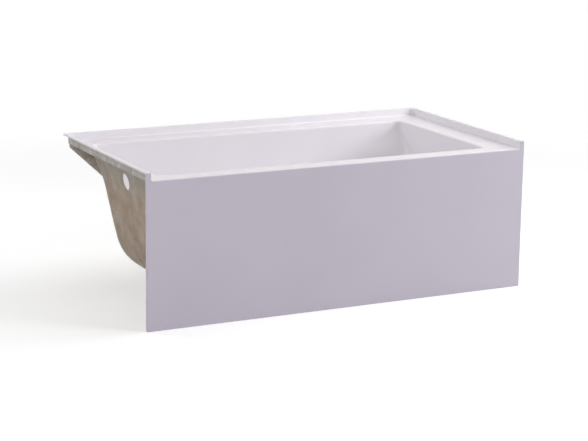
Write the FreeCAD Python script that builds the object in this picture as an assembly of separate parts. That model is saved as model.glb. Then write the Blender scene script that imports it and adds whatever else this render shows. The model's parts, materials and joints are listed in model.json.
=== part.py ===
import FreeCAD, Part
import math
import os

os.makedirs("parts", exist_ok=True)

Vector = FreeCAD.Vector

# An alcove bathtub: a formed acrylic shell on a glass-fibre laminate, with a flat front apron,
# a tile flange on its three wall sides and a steel cradle on four levelling feet.
# The origin is the middle of the footprint, on the floor. +X runs along the tub, with the waste
# hole at the -X end, +Y points to the back wall and +Z up. All sizes are in millimetres.

# Overall sizes
tub_length = 1524.0
tub_width = 813.0
deck_height = 531.0
flange_rise = 28.0

# Sheet thicknesses
acrylic = 4.0
laminate = 4.0

# Tile flange: how far its inner face stands in from the lip, and the lip's own sizes
flange_inset = 16.0
lip_sheet = 4.0
lip_bead_height = 6.0
lip_bead_width = 4.0
deck_fold_radius = 6.0
flange_corner_over_fold = 18.0
laminate_fold_radius = 6.0
lip_corner_radius = 4.0

# Decks round the basin's mouth
deck_left = 74.0
deck_right = 132.0
deck_front = 75.0
deck_back = 105.0

# Basin: wall slopes from the upright, and bends
slope_drain_end = 10.2
slope_head_end = 12.0
slope_front = 4.6
slope_back = 4.7
foot_radius_drain_end = 158.0
foot_radius_head_end = 185.0
foot_radius_sides = 76.0
rim_inner_bend = 2.0

# Basin corners in plan: radius at the rim, at the shoulder and at the floor
corner_rim_drain = 28.0
corner_shoulder_drain = 94.0
corner_floor_drain = 119.0
corner_rim_head = 26.0
corner_shoulder_head = 188.0
corner_floor_head = 160.0
shoulder_depth = 149.0
corner_room_share = 0.47

# Waste and overflow holes
waste_hole_radius = 26.0
waste_from_left = 356.0
waste_dish_radius = 42.0
waste_dish_depth = 2.0
overflow_hole_radius = 31.75
overflow_below_deck = 81.0

# Screw hole in the left flange
flange_hole_radius = 2.5
flange_hole_from_front = 80.0
flange_hole_above_deck = 10.0

# Apron
apron_edge_radius = 5.0
apron_return = 12.0
apron_side_radius = 3.0
batten_thickness = 18.0
batten_height = 40.0
batten_end_gap = 12.0
apron_batten_lift = 4.0

# Rim battens under the deck
rim_batten_width = 40.0
rim_batten_height = 20.0

# Corner gussets under the back corners of the deck
gusset_thickness = 12.0
gusset_tip_height = 9.5
gusset_tip_radius = 12.0
gusset_before_corner = 2.0
gusset_angle = 43.0
gusset_left_depth = 150.0
gusset_left_foot = 9.0
gusset_right_depth = 60.0
gusset_right_foot = 96.0

# Floor board
board_thickness = 12.0
board_edge_gap = 12.0
board_corner_radius = 60.0
board_waste_radius = 60.0

# Cradle rails: square steel tube across the tub
rail_size = 30.0
rail_wall = 2.0
rail_left_from_end = 450.0
rail_right_from_end = 420.0
rail_front_gap = 6.0
rail_past_foot = 24.0
cap_flange = 3.0
cap_plug = 12.0
cap_clearance = 0.1

# Levelling feet
stem_radius = 5.98
thread_clearance = 0.05
nut_across_flats = 18.0
weld_nut_height = 10.0
lock_nut_height = 6.0
foot_front = 105.0
foot_back = 135.0
pad_radius = 22.0
pad_height = 5.0
pad_hub_radius = 11.0
pad_hub_height = 4.0
pad_chamfer = 1.0
pad_socket_depth = 6.0
hub_to_lock_nut = 5.0
spigot_radius = 4.0
spigot_clearance = 0.05
shoulder_gap = 0.3
stem_above_nut = 22.0
stem_chamfer = 1.0
slot_width = 1.6
slot_depth = 3.0
rail_hole_clearance = 0.5

# Screws and brackets
screw_radius = 2.5
screw_head_radius = 5.0
screw_head_height = 3.0
screws_per_rail = 3
screw_from_board_edge = 52.5
board_left_over_screw = 2.0
bracket_sheet = 2.5
bracket_leg = 32.0
bracket_height = 20.0
small_screw_radius = 2.0
small_screw_head_radius = 4.0
small_screw_head_height = 2.2
small_screw_length = 14.0
rail_screw_length = 6.0
batten_screw_out = 20.0
rail_screw_out = 22.0

# Places worked out from the sizes above
skin = acrylic + laminate
flange_top = deck_height + flange_rise
x_left = -tub_length / 2
x_right = tub_length / 2
y_front = -tub_width / 2
y_back = tub_width / 2
web_inner = flange_inset
web_outer = flange_inset - acrylic
laminate_outer = web_outer - laminate
rim_radius = rim_inner_bend + skin
bend_centre = deck_height - rim_radius
flange_corner = deck_fold_radius + flange_corner_over_fold
ear_width = web_inner + deck_fold_radius
under_deck = deck_height - skin
hub_top = pad_height + pad_hub_height
rail_bottom = hub_top + hub_to_lock_nut + lock_nut_height
rail_top = rail_bottom + rail_size
board_top = rail_top + board_thickness
floor_top = board_top + skin
waste_x = x_left + waste_from_left
basin_middle = (deck_front - deck_back) / 2
nut_bore_radius = stem_radius + thread_clearance

# How far cutting shapes run past what they cut, and the levels of the basin's lofts
past = 1.0
far = 50.0
rim_angles = (90, 66, 44, 22, 0)
loft_steps = 7


def box(x0, x1, y0, y1, z0, z1):
    """A box between two corners."""
    return Part.makeBox(x1 - x0, y1 - y0, z1 - z0, Vector(x0, y0, z0))


def rod(radius, length, foot, axis=Vector(0, 0, 1)):
    """A round bar from a point along an axis."""
    return Part.makeCylinder(radius, length, foot, axis)


def prism(outline, push):
    """A solid pushed out from a closed outline of points."""
    wire = Part.makePolygon(outline + [outline[0]])
    return Part.Face(wire).extrude(push)


def upright_edges(shape, places, reach=1.0):
    """The upright edges of a shape that stand at the given places in plan."""
    found = []
    for edge in shape.Edges:
        low, high = edge.Vertexes[0].Point, edge.Vertexes[-1].Point
        if abs(low.x - high.x) > 0.001 or abs(low.y - high.y) > 0.001:
            continue
        if any(math.hypot(low.x - x, low.y - y) < reach for x, y in places):
            found.append(edge)
    return found


def flat_edges_at(shape, z):
    """The edges of a shape that lie wholly at one height."""
    found = []
    for edge in shape.Edges:
        bounds = edge.BoundBox
        if abs(bounds.ZMin - z) < 0.001 and abs(bounds.ZMax - z) < 0.001:
            found.append(edge)
    return found


def cut_each(shape, tools):
    """Cut tools from a shape one at a time."""
    for tool in tools:
        shape = shape.cut(tool)
    return shape


def save(shape, name):
    """Write one sub-part."""
    shape = shape.removeSplitter()
    if not shape.isValid():
        print("not valid:", name)
    shape.exportStep("parts/" + name + ".step")


class Wall:
    """One side of the basin: a bend over the rim, a sloping wall and a bend into the floor.

    Insets are measured in from the line where the deck and the wall would meet if they were sharp.
    'out' is how far a face lies outside the bather's face: 0, one sheet or the whole skin."""

    def __init__(self, slope_degrees, foot_radius):
        self.slope = math.radians(slope_degrees)
        self.foot_radius = foot_radius
        self.bend_inset = rim_radius * (math.tan(self.slope) - 1 / math.cos(self.slope))
        drop = deck_height - floor_top - foot_radius
        self.foot_inset = drop * math.tan(self.slope) + foot_radius / math.cos(self.slope)

    def straight(self, z, out):
        return (deck_height - z) * math.tan(self.slope) - out / math.cos(self.slope)

    def inset(self, z, out):
        bend = rim_radius - out
        foot = self.foot_radius + out
        foot_centre = floor_top + self.foot_radius
        if z > bend_centre + bend * math.sin(self.slope):
            rise = min(1.0, (z - bend_centre) / bend)
            return self.bend_inset + bend * math.sqrt(1 - rise * rise)
        if z < foot_centre - foot * math.sin(self.slope):
            fall = min(1.0, (foot_centre - z) / foot)
            return self.foot_inset - foot * math.sqrt(1 - fall * fall)
        return self.straight(z, out)


drain_wall = Wall(slope_drain_end, foot_radius_drain_end)
head_wall = Wall(slope_head_end, foot_radius_head_end)
front_wall = Wall(slope_front, foot_radius_sides)
back_wall = Wall(slope_back, foot_radius_sides)


def ease(share):
    """A smooth step from 0 to 1."""
    share = min(1.0, max(0.0, share))
    return share * share * (3 - 2 * share)


def within_walls(radius, z):
    """A plan radius limited by the basin's width at its height."""
    width = tub_width - deck_front - deck_back - front_wall.inset(z, 0) - back_wall.inset(z, 0)
    return min(radius, corner_room_share * width)


def corner_radius(z, out, rim, shoulder, floor):
    """Plan radius of a basin corner: it opens out quickly down to the shoulder."""
    shoulder = within_walls(shoulder, deck_height - shoulder_depth)
    floor = within_walls(floor, floor_top)
    grown = 1 / math.cos(front_wall.slope)
    if z > bend_centre:
        return rim + rim_radius * grown - (front_wall.inset(z, out) - front_wall.bend_inset)
    depth = bend_centre - z
    above = shoulder_depth - rim_radius
    below = bend_centre - floor_top - above
    radius = rim + (shoulder - rim) * ease(depth / above)
    radius += (floor - shoulder) * ease((depth - above) / below)
    return radius + out * grown


def basin_outline(z, out):
    """The basin's rounded outline at one height."""
    x0 = x_left + deck_left + drain_wall.inset(z, out)
    x1 = x_right - deck_right - head_wall.inset(z, out)
    y0 = y_front + deck_front + front_wall.inset(z, out)
    y1 = y_back - deck_back - back_wall.inset(z, out)
    left = corner_radius(z, out, corner_rim_drain, corner_shoulder_drain, corner_floor_drain)
    right = corner_radius(z, out, corner_rim_head, corner_shoulder_head, corner_floor_head)
    corners = [(x0 + left, y0 + left, left, 180), (x1 - right, y0 + right, right, 270),
               (x1 - right, y1 - right, right, 0), (x0 + left, y1 - left, left, 90)]
    edges = []
    last = None
    first = None
    for cx, cy, radius, start in corners:
        points = []
        for turn in (0, 45, 90):
            angle = math.radians(start + turn)
            points.append(Vector(cx + radius * math.cos(angle), cy + radius * math.sin(angle), z))
        if last is None:
            first = points[0]
        else:
            edges.append(Part.LineSegment(last, points[0]).toShape())
        edges.append(Part.Arc(*points).toShape())
        last = points[2]
    edges.append(Part.LineSegment(last, first).toShape())
    return Part.Wire(edges)


def rim_loft(out):
    """The basin's mouth, grown by 'out': the bend from the deck down to the walls."""
    bend = rim_radius - out
    levels = [bend_centre + bend * math.sin(math.radians(angle)) for angle in rim_angles]
    return Part.makeLoft([basin_outline(z, out) for z in levels], True, False)


def wall_loft(out):
    """The basin below its mouth, grown by 'out': walls, foot bends, floor and waste dish."""
    foot = head_wall.foot_radius + out
    foot_centre = floor_top + head_wall.foot_radius
    wall_end = foot_centre - foot * math.sin(head_wall.slope)
    levels = []
    for i in range(loft_steps):
        levels.append(bend_centre + (wall_end - bend_centre) * i / loft_steps)
    for i in range(loft_steps + 1):
        angle = math.radians(slope_head_end + (90 - slope_head_end) * i / loft_steps)
        levels.append(foot_centre - foot * math.sin(angle))
    body = Part.makeLoft([basin_outline(z, out) for z in levels], True, False)
    dish_foot = Vector(waste_x, basin_middle, floor_top - waste_dish_depth - out)
    return body.fuse(rod(waste_dish_radius + out, waste_dish_depth + out + past, dish_foot))


def layer(deck_part, inner, outer):
    """One layer of the tub, between two distances outside the bather's face."""
    mouth = Part.Face(basin_outline(deck_height - outer, outer))
    mouth = mouth.extrude(Vector(0, 0, outer - inner))
    bend = rim_loft(outer).fuse(mouth).cut(rim_loft(inner))
    basin = wall_loft(outer).cut(wall_loft(inner))
    return deck_part.cut(mouth).fuse(bend).fuse(basin)


# Waste, overflow and screw holes
overflow_z = deck_height - overflow_below_deck
overflow_x = x_left + deck_left + drain_wall.straight(overflow_z, 0)
overflow_axis = Vector(-math.cos(drain_wall.slope), 0, -math.sin(drain_wall.slope))
overflow_start = Vector(overflow_x, basin_middle, overflow_z) - overflow_axis * far
flange_hole_start = Vector(x_left, y_front + flange_hole_from_front,
                           deck_height + flange_hole_above_deck)
holes = [rod(waste_hole_radius, 2 * far, Vector(waste_x, basin_middle, floor_top - far)),
         rod(overflow_hole_radius, 2 * far, overflow_start, overflow_axis),
         rod(flange_hole_radius, flange_inset + past, flange_hole_start, Vector(1, 0, 0))]

# The space above the deck inside the flange, with a fold along its foot and its two back corners
well = box(x_left + web_inner, x_right - web_inner, y_front - far, y_back - web_inner,
           deck_height, flange_top + far)
well_corners = [(x_left + web_inner, y_back - web_inner), (x_right - web_inner, y_back - web_inner)]
well = well.makeFillet(flange_corner, upright_edges(well, well_corners))
well_foot = []
for edge in flat_edges_at(well, deck_height):
    if edge.BoundBox.YMax > y_front:
        well_foot.append(edge)
well = well.makeFillet(deck_fold_radius, well_foot)


def rounded_back(block, side, radius):
    """A block with its two back corners rounded, where its faces stand 'side' in from the tub's."""
    corners = [(x_left + side, y_back - side), (x_right - side, y_back - side)]
    return block.makeFillet(radius, upright_edges(block, corners))


def flange_block(side, front, bottom, top, fold_radius):
    """A block inside a flange face, with its back corners round the well's and its fold below."""
    block = box(x_left + side, x_right - side, front, y_back - side, bottom, top)
    block = rounded_back(block, side, flange_corner + web_inner - side)
    fold_edges = [edge for edge in flat_edges_at(block, bottom) if edge.BoundBox.YMax > front]
    return block.makeFillet(fold_radius, fold_edges)


# The rounded front edge that the deck and the apron share, and the mitre between the two
edge_block = box(x_left + ear_width, x_right - ear_width, y_front - past,
                 y_front + apron_edge_radius, deck_height - apron_edge_radius, flange_top + past)
edge_rod = rod(apron_edge_radius, tub_length,
               Vector(x_left, y_front + apron_edge_radius, deck_height - apron_edge_radius),
               Vector(1, 0, 0))
edge_waste = edge_block.cut(edge_rod)
between_ears = Vector(tub_length - 2 * ear_width, 0, 0)
mitre = prism([Vector(x_left + ear_width, y_front, deck_height),
               Vector(x_left + ear_width, y_front + skin, deck_height - skin),
               Vector(x_left + ear_width, y_front - far, deck_height - skin),
               Vector(x_left + ear_width, y_front - far, deck_height)], between_ears)
ears = [box(x_left - past, x_left + ear_width, y_front - past, y_front + acrylic,
            0, flange_top + past),
        box(x_right - ear_width, x_right + past, y_front - past, y_front + acrylic,
            0, flange_top + past)]


# Formed acrylic shell: flange, lip, deck and basin
lip = box(x_left, x_right, y_front, y_back, flange_top - lip_bead_height, flange_top)
lip = rounded_back(lip, 0, lip_corner_radius)
lip = lip.cut(box(x_left + lip_bead_width, x_right - lip_bead_width, y_front - past,
                  y_back - lip_bead_width, 0, flange_top - lip_sheet))
sheet_block = flange_block(web_outer, y_front, deck_height - acrylic, flange_top,
                           deck_fold_radius + acrylic)
deck = sheet_block.fuse(lip).cut(well)
shell = cut_each(layer(deck, 0, acrylic), [edge_waste, mitre] + ears + holes)
save(shell, "tub_shell")

# Glass-fibre laminate on the shell's underside and on the outside of its flange
laminate_block = flange_block(laminate_outer, y_front + skin, under_deck,
                              flange_top - lip_sheet, laminate_fold_radius)
laminate_deck = laminate_block.cut(sheet_block)
save(cut_each(layer(laminate_deck, acrylic, skin), holes), "shell_laminate")

# Flat apron panel with a return down each side and an ear up the end of each flange
apron = box(x_left, x_right, y_front, y_front + acrylic, 0, flange_top)
over_mitre = prism([Vector(x_left + ear_width, y_front, deck_height),
                    Vector(x_left + ear_width, y_front + skin, deck_height - skin),
                    Vector(x_left + ear_width, y_front + skin, deck_height + past),
                    Vector(x_left + ear_width, y_front, deck_height + past)], between_ears)
apron = cut_each(apron, [well, edge_waste, over_mitre])
return_top = flange_top - lip_bead_height
returns = [box(x_left, x_left + acrylic, y_front + acrylic, y_front + apron_return, 0, return_top),
           box(x_right - acrylic, x_right, y_front + acrylic, y_front + apron_return, 0, return_top)]
apron = apron.fuse(returns).removeSplitter()
apron = apron.makeFillet(apron_side_radius,
                         upright_edges(apron, [(x_left, y_front), (x_right, y_front)]))
save(apron, "apron_panel")

# Laminate behind the apron, and two timber battens bonded to it
apron_laminate = box(x_left + acrylic, x_right - acrylic, y_front + acrylic, y_front + skin,
                     apron_batten_lift, deck_height - acrylic)
save(apron_laminate.cut(sheet_block), "apron_laminate")
batten_y0 = y_front + skin
batten_y1 = batten_y0 + batten_thickness
batten_x0 = x_left + acrylic + batten_end_gap
batten_x1 = x_right - acrylic - batten_end_gap
top_batten = box(batten_x0, batten_x1, batten_y0, batten_y1,
                 under_deck - batten_height, under_deck)
save(top_batten, "apron_top_batten")
bottom_batten = box(batten_x0, batten_x1, batten_y0, batten_y1,
                    apron_batten_lift, apron_batten_lift + batten_height)


def gusset_reach(depth, foot):
    """How far a corner gusset reaches from the flange: its slope, then its level foot."""
    return (depth - gusset_tip_height) / math.tan(math.radians(gusset_angle)) + foot


# Timber battens under the back and the right deck
back_space = (y_back - deck_back + skin, y_back - laminate_outer)
back_middle = (back_space[0] + back_space[1]) / 2
back_batten = box(x_left + laminate_outer + gusset_reach(gusset_left_depth, gusset_left_foot),
                  x_right - laminate_outer - gusset_reach(gusset_right_depth, gusset_right_foot),
                  back_middle - rim_batten_width / 2, back_middle + rim_batten_width / 2,
                  under_deck - rim_batten_height, under_deck)
save(back_batten, "rim_batten_back")
right_space = (x_right - deck_right + skin, x_right - laminate_outer)
right_middle = (right_space[0] + right_space[1]) / 2
right_batten = box(right_middle - rim_batten_width / 2, right_middle + rim_batten_width / 2,
                   y_front + deck_front, y_back - deck_back - deck_front,
                   under_deck - rim_batten_height, under_deck)
save(right_batten, "rim_batten_right")


def gusset(side, depth, foot):
    """A web under a back corner of the deck, just before the flange rounds the corner."""
    tip = x_left + laminate_outer if side > 0 else x_right - laminate_outer
    y1 = y_back - laminate_outer - (flange_corner + skin) - gusset_before_corner
    y0 = y1 - gusset_thickness
    reach = gusset_reach(depth, foot)
    fold_top = under_deck + laminate_fold_radius
    outline = [Vector(tip, y0, fold_top),
               Vector(tip, y0, under_deck - gusset_tip_height),
               Vector(tip + side * (reach - foot), y0, under_deck - depth),
               Vector(tip + side * reach, y0, under_deck - depth),
               Vector(tip + side * reach, y0, fold_top)]
    web = prism(outline, Vector(0, gusset_thickness, 0))
    tip_edge = []
    for edge in web.Edges:
        ends = [vertex.Point for vertex in edge.Vertexes]
        if all(end.distanceToPoint(Vector(tip, end.y, outline[1].z)) < past for end in ends):
            tip_edge.append(edge)
    return web.makeFillet(gusset_tip_radius, tip_edge).cut(laminate_block)


save(gusset(1, gusset_left_depth, gusset_left_foot), "corner_gusset_left")
save(gusset(-1, gusset_right_depth, gusset_right_foot), "corner_gusset_right")

# Floor board bonded under the flat of the floor
board_x0 = x_left + deck_left + drain_wall.foot_inset + board_edge_gap
board_x1 = x_right - deck_right - head_wall.foot_inset - board_edge_gap
board_y0 = y_front + deck_front + front_wall.foot_inset + board_edge_gap
board_y1 = y_back - deck_back - back_wall.foot_inset - board_edge_gap
board = box(board_x0, board_x1, board_y0, board_y1, rail_top, board_top)
board_corners = [(x, y) for x in (board_x0, board_x1) for y in (board_y0, board_y1)]
board = board.makeFillet(board_corner_radius, upright_edges(board, board_corners))
board = board.cut(rod(board_waste_radius, 2 * far, Vector(waste_x, basin_middle, rail_top - far)))

# Two cradle rails across the tub, with a foot near each end of each
rails = {"left": x_left + rail_left_from_end, "right": x_right - rail_right_from_end}
foot_rows = {"front": y_front + foot_front, "back": y_back - foot_back}
rail_y0 = batten_y1 + rail_front_gap
rail_y1 = foot_rows["back"] + rail_past_foot
screw_span = board_y1 - board_y0 - 2 * screw_from_board_edge
screw_rows = [board_y0 + screw_from_board_edge + screw_span * i / (screws_per_rail - 1)
              for i in range(screws_per_rail)]
board_bite = board_thickness - board_left_over_screw
board_screws = []
rail_caps = []
brackets = []
bracket_screws = []
for name, rail_x in rails.items():
    half = rail_size / 2
    rail = box(rail_x - half, rail_x + half, rail_y0, rail_y1, rail_bottom, rail_top)
    bore = half - rail_wall
    middle = (rail_bottom + rail_top) / 2
    rail = rail.cut(box(rail_x - bore, rail_x + bore, rail_y0 - past, rail_y1 + past,
                        middle - bore, middle + bore))
    for row in foot_rows.values():
        foot = Vector(rail_x, row, rail_bottom - past)
        rail = rail.cut(rod(stem_radius + rail_hole_clearance, rail_size + 2 * past, foot))
    for row in screw_rows:
        head_foot = Vector(rail_x, row, rail_bottom - screw_head_height)
        head = rod(screw_head_radius, screw_head_height, head_foot)
        shank = rod(screw_radius, screw_head_height + rail_size + board_bite, head_foot)
        rail = rail.cut(rod(screw_radius, screw_head_height + rail_size + past, head_foot))
        board = board.cut(shank)
        board_screws.append(head.fuse(shank).removeSplitter())
    # Plastic plugs in the tube's two ends
    for end, inward in ((rail_y0, 1), (rail_y1, -1)):
        outer = sorted((end - inward * cap_flange, end))
        inner = sorted((end, end + inward * cap_plug))
        plug = bore - cap_clearance
        cap = box(rail_x - half, rail_x + half, outer[0], outer[1], rail_bottom, rail_top)
        cap = cap.fuse(box(rail_x - plug, rail_x + plug, inner[0], inner[1],
                           middle - plug, middle + plug))
        rail_caps.append(cap.removeSplitter())
    # An angle bracket ties the rail to the apron's bottom batten
    side = rail_x + half
    low = middle - bracket_height / 2
    angle = box(side, side + bracket_leg, batten_y1, batten_y1 + bracket_sheet,
                low, low + bracket_height)
    angle = angle.fuse(box(side, side + bracket_sheet, batten_y1, batten_y1 + bracket_leg,
                           low, low + bracket_height)).removeSplitter()
    into_batten = Vector(side + batten_screw_out, batten_y1 + bracket_sheet, middle)
    into_rail = Vector(side + bracket_sheet, batten_y1 + rail_screw_out, middle)
    for seat, push, length in ((into_batten, Vector(0, -1, 0), small_screw_length),
                               (into_rail, Vector(-1, 0, 0), rail_screw_length)):
        shank = rod(small_screw_radius, length, seat, push)
        head = rod(small_screw_head_radius, small_screw_head_height, seat, push * -1)
        angle = angle.cut(shank)
        rail = rail.cut(shank)
        bottom_batten = bottom_batten.cut(shank)
        bracket_screws.append(head.fuse(shank).removeSplitter())
    brackets.append(angle)
    save(rail, "cradle_rail_" + name)
save(board, "floor_board")
save(bottom_batten, "apron_bottom_batten")
save(Part.makeCompound(board_screws), "board_screws")
save(Part.makeCompound(rail_caps), "rail_end_caps")
save(Part.makeCompound(brackets), "rail_brackets")
save(Part.makeCompound(bracket_screws), "bracket_screws")


def hexagon_nut(foot, height):
    """A hexagon nut with its bore, standing on a point."""
    corner = nut_across_flats / 2 / math.cos(math.radians(30))
    outline = []
    for i in range(6):
        angle = math.radians(60 * i + 30)
        outline.append(foot + Vector(corner * math.cos(angle), corner * math.sin(angle), 0))
    nut = prism(outline, Vector(0, 0, height))
    return nut.cut(rod(nut_bore_radius, height + 2 * past, foot - Vector(0, 0, past)))


# Levelling feet: a pad that turns on the end of a threaded stem
socket_foot = hub_top - pad_socket_depth
spigot_foot = socket_foot + spigot_clearance
stem_foot = hub_top + shoulder_gap
stem_top = rail_top + weld_nut_height + stem_above_nut
weld_nuts = []
lock_nuts = []
for row_name, row in foot_rows.items():
    for name, rail_x in rails.items():
        centre = Vector(rail_x, row, 0)
        foot_name = row_name + "_" + name
        weld_nuts.append(hexagon_nut(centre + Vector(0, 0, rail_top), weld_nut_height))
        lock_nuts.append(hexagon_nut(centre + Vector(0, 0, rail_bottom - lock_nut_height),
                                     lock_nut_height))
        pad = rod(pad_radius, pad_height, centre)
        pad = pad.makeChamfer(pad_chamfer, flat_edges_at(pad, pad_height))
        pad = pad.fuse(rod(pad_hub_radius, hub_top, centre)).removeSplitter()
        pad = pad.cut(rod(spigot_radius + spigot_clearance, hub_top,
                          centre + Vector(0, 0, socket_foot)))
        save(pad, "foot_pad_" + foot_name)
        stem = rod(stem_radius, stem_top - stem_foot, centre + Vector(0, 0, stem_foot))
        stem = stem.makeChamfer(stem_chamfer, flat_edges_at(stem, stem_top))
        stem = stem.fuse(rod(spigot_radius, stem_foot - spigot_foot + past,
                             centre + Vector(0, 0, spigot_foot))).removeSplitter()
        slot = box(rail_x - slot_width / 2, rail_x + slot_width / 2, row - pad_radius,
                   row + pad_radius, stem_top - slot_depth, stem_top + past)
        save(stem.cut(slot), "foot_stem_" + foot_name)
save(Part.makeCompound(weld_nuts), "weld_nuts")
save(Part.makeCompound(lock_nuts), "lock_nuts")
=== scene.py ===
"""An alcove bathtub: the looks of its acrylic, fibreglass, timber, steel and plastic pieces."""

import json
import math

import bmesh
import bpy
from mathutils import Matrix, Vector, noise


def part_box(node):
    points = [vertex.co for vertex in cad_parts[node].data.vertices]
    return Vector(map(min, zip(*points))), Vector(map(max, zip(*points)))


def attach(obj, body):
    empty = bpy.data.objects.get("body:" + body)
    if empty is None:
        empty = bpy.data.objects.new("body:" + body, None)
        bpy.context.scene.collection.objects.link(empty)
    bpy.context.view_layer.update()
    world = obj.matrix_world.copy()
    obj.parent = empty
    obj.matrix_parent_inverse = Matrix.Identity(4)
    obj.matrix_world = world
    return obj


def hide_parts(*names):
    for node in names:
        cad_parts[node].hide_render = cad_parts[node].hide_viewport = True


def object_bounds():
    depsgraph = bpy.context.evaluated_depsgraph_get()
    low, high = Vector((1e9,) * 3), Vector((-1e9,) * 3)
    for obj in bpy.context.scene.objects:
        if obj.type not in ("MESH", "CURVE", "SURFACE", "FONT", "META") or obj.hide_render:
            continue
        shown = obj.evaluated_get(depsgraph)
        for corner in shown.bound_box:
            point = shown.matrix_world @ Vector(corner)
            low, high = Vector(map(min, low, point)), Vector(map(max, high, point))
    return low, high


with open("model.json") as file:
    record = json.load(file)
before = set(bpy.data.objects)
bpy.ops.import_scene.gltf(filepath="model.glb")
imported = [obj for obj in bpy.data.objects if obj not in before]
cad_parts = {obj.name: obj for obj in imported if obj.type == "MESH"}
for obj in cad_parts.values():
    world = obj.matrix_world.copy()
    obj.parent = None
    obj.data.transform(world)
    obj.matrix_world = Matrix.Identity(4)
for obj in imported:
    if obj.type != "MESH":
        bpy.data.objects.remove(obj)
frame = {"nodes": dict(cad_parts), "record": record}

cad_low, cad_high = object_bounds()
mounts = {mount["name"]: mount for mount in frame["record"]["mounts"]}
feet = [name.removeprefix("foot_stem_") for name in sorted(frame["nodes"])
        if name.startswith("foot_stem_")]
hair = 1e-6  # points nearer than this are one point

# Sheets, flange, basin and apron, in metres and degrees, as the part has them
x_left, x_right = cad_low.x, cad_high.x
y_front, y_back = cad_low.y, cad_high.y
flange_top = cad_high.z
deck_height = mounts["front_deck"]["pos_m"][2]
acrylic_sheet = 0.004
laminate_sheet = 0.004
skin = acrylic_sheet + laminate_sheet
flange_inset = 0.016
flange_corner = 0.024
lip_bead_height = 0.006
lip_corner_radius = 0.004
lip_edge_radius = 0.0015
lip_crease_radius = 0.001
fold_radius = 0.006
laminate_fold_radius = 0.006
deck_left = 0.074
deck_right = 0.132
deck_front = 0.075
deck_back = 0.105
rim_radius = 0.010
floor_top = 0.070
slope_drain, slope_head, slope_front, slope_back = 10.2, 12.0, 4.6, 4.7
foot_drain, foot_head, foot_sides = 0.158, 0.185, 0.076
corner_rim_drain, corner_shoulder_drain, corner_floor_drain = 0.028, 0.094, 0.119
corner_rim_head, corner_shoulder_head, corner_floor_head = 0.026, 0.188, 0.160
shoulder_depth = 0.149
apron_edge_radius = 0.005
deck_edge_turn = 45.0
wall_drill = 0.03

# The waste hole's dish, as radius and depth
dish_profile = ((0.046, 0.0), (0.0435, 0.0002), (0.0415, 0.001), (0.0395, 0.0018), (0.037, 0.002))

# Corner gussets
gusset_thickness = 0.012
gusset_tip_height = 0.0095
gusset_tip_radius = 0.012
gusset_before_corner = 0.002
gusset_angle = 43.0
gusset_bite = 0.003
gusset_voxel = 0.002
gusset_softening = 4

# Each gusset's side of the tub (1 is the left), its depth and the width of its foot
gusset_sizes = {"corner_gusset_left": (1, 0.150, 0.009), "corner_gusset_right": (-1, 0.060, 0.096)}

# Lumps in the hand-rolled resin: how close, how high, and a shift that tells the layers apart.
# They fade out by the flat under the floor, where the board sits, and under the flange's lip.
lump_layers = ((14.0, 0.0008, (0.0, 0.0, 0.0)), (38.0, 0.0006, (5.2, 1.3, 7.7)),
               (110.0, 0.00035, (9.1, 4.4, 2.6)))
gusset_lumps = 0.6
board_gap = 0.0005
board_fade = 0.02
lip_gap = 0.006
lip_fade = 0.008

# Feet, nuts, screws and rails
thread_pitch = 0.00175
thread_depth = 0.0009
thread_rows = 6
thread_crest = 1.35  # over 1, so that the crest is flat
stem_sides = 24
stem_chamfer = 0.001
spigot_radius = 0.004
spigot_length = 0.00625
slot_width = 0.0016
slot_depth = 0.003
slot_edge = 0.0002
nut_bore = 0.006
nut_bore_chamfer = 0.0006
nut_chamfer_start = 0.97
nut_chamfer_angle = math.radians(30)
nut_sides = 48
pad_sides = 144
pad_steps = 8
pad_plate = 0.0034
pad_edge = 0.0012
pad_plain_rim = 0.003
pad_hub_radius = 0.011
pad_hub_fillet = 0.001
pad_socket_gap = 0.0001
pad_socket_depth = 0.006
pad_ribs = 8
pad_rib_height = 0.0042
pad_rib_half = 0.0022
pad_rib_flank = 0.0008
pad_rib_inset = 0.002
edge_middle = 0.3  # how far in a rounded edge's middle lies, as a share of the edge
rail_wall = 0.002
rail_corner = 0.003
rail_hole_gap = 0.0005
rail_drill = 0.1
bracket_sheet = 0.0025
bracket_bend = 0.004
screw_sides = 32
screw_dome = 0.45
screw_tip = 0.2
cap_flange = 0.003
cap_edge = 0.0008

# A screw head's outline, and the cross in it, as shares of the head's radius and the dome's height
head_outline = ((0, 0), (0.45, 0.12), (0.75, 0.4), (0.93, 0.75), (1, 1), (1, 1.35))
cross_arm, cross_half, cross_depth, cross_edge = 0.55, 0.09, 0.7, 0.03

# How finely the sheets are divided
front_steps = 72
side_steps = 34
corner_steps = 20
bend_steps = 8
wall_steps = 26
foot_steps = 26
floor_steps = 12
arc_steps = 5
acrylic_deck_steps = 4
laminate_deck_steps = 6
laminate_web_steps = 4

# Degrees over which an edge shows as sharp
sharp_edge = 35.0

# Camera, from the photograph: metres, degrees and pixels of its 588 x 441 frame
photo_width = 588
photo_height = 441
focal_pixels = 1914.9
centre_pixel = (293.38, 217.84)
camera_place = Vector((-3.20937, -6.27575, 1.8679))
camera_azimuth = math.radians(27.121)
camera_dip = math.radians(12.931)
camera_roll = math.radians(0.787)
sensor_width = 36.0
camera_reach = 200.0

# Stage: how bright the floor looks near the tub, and where it has faded to plain white
floor_reach = 60.0
floor_dull = 0.5
floor_lift = 0.45
floor_fade = (1.3, 3.4)
sky_strength = 0.02

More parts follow.
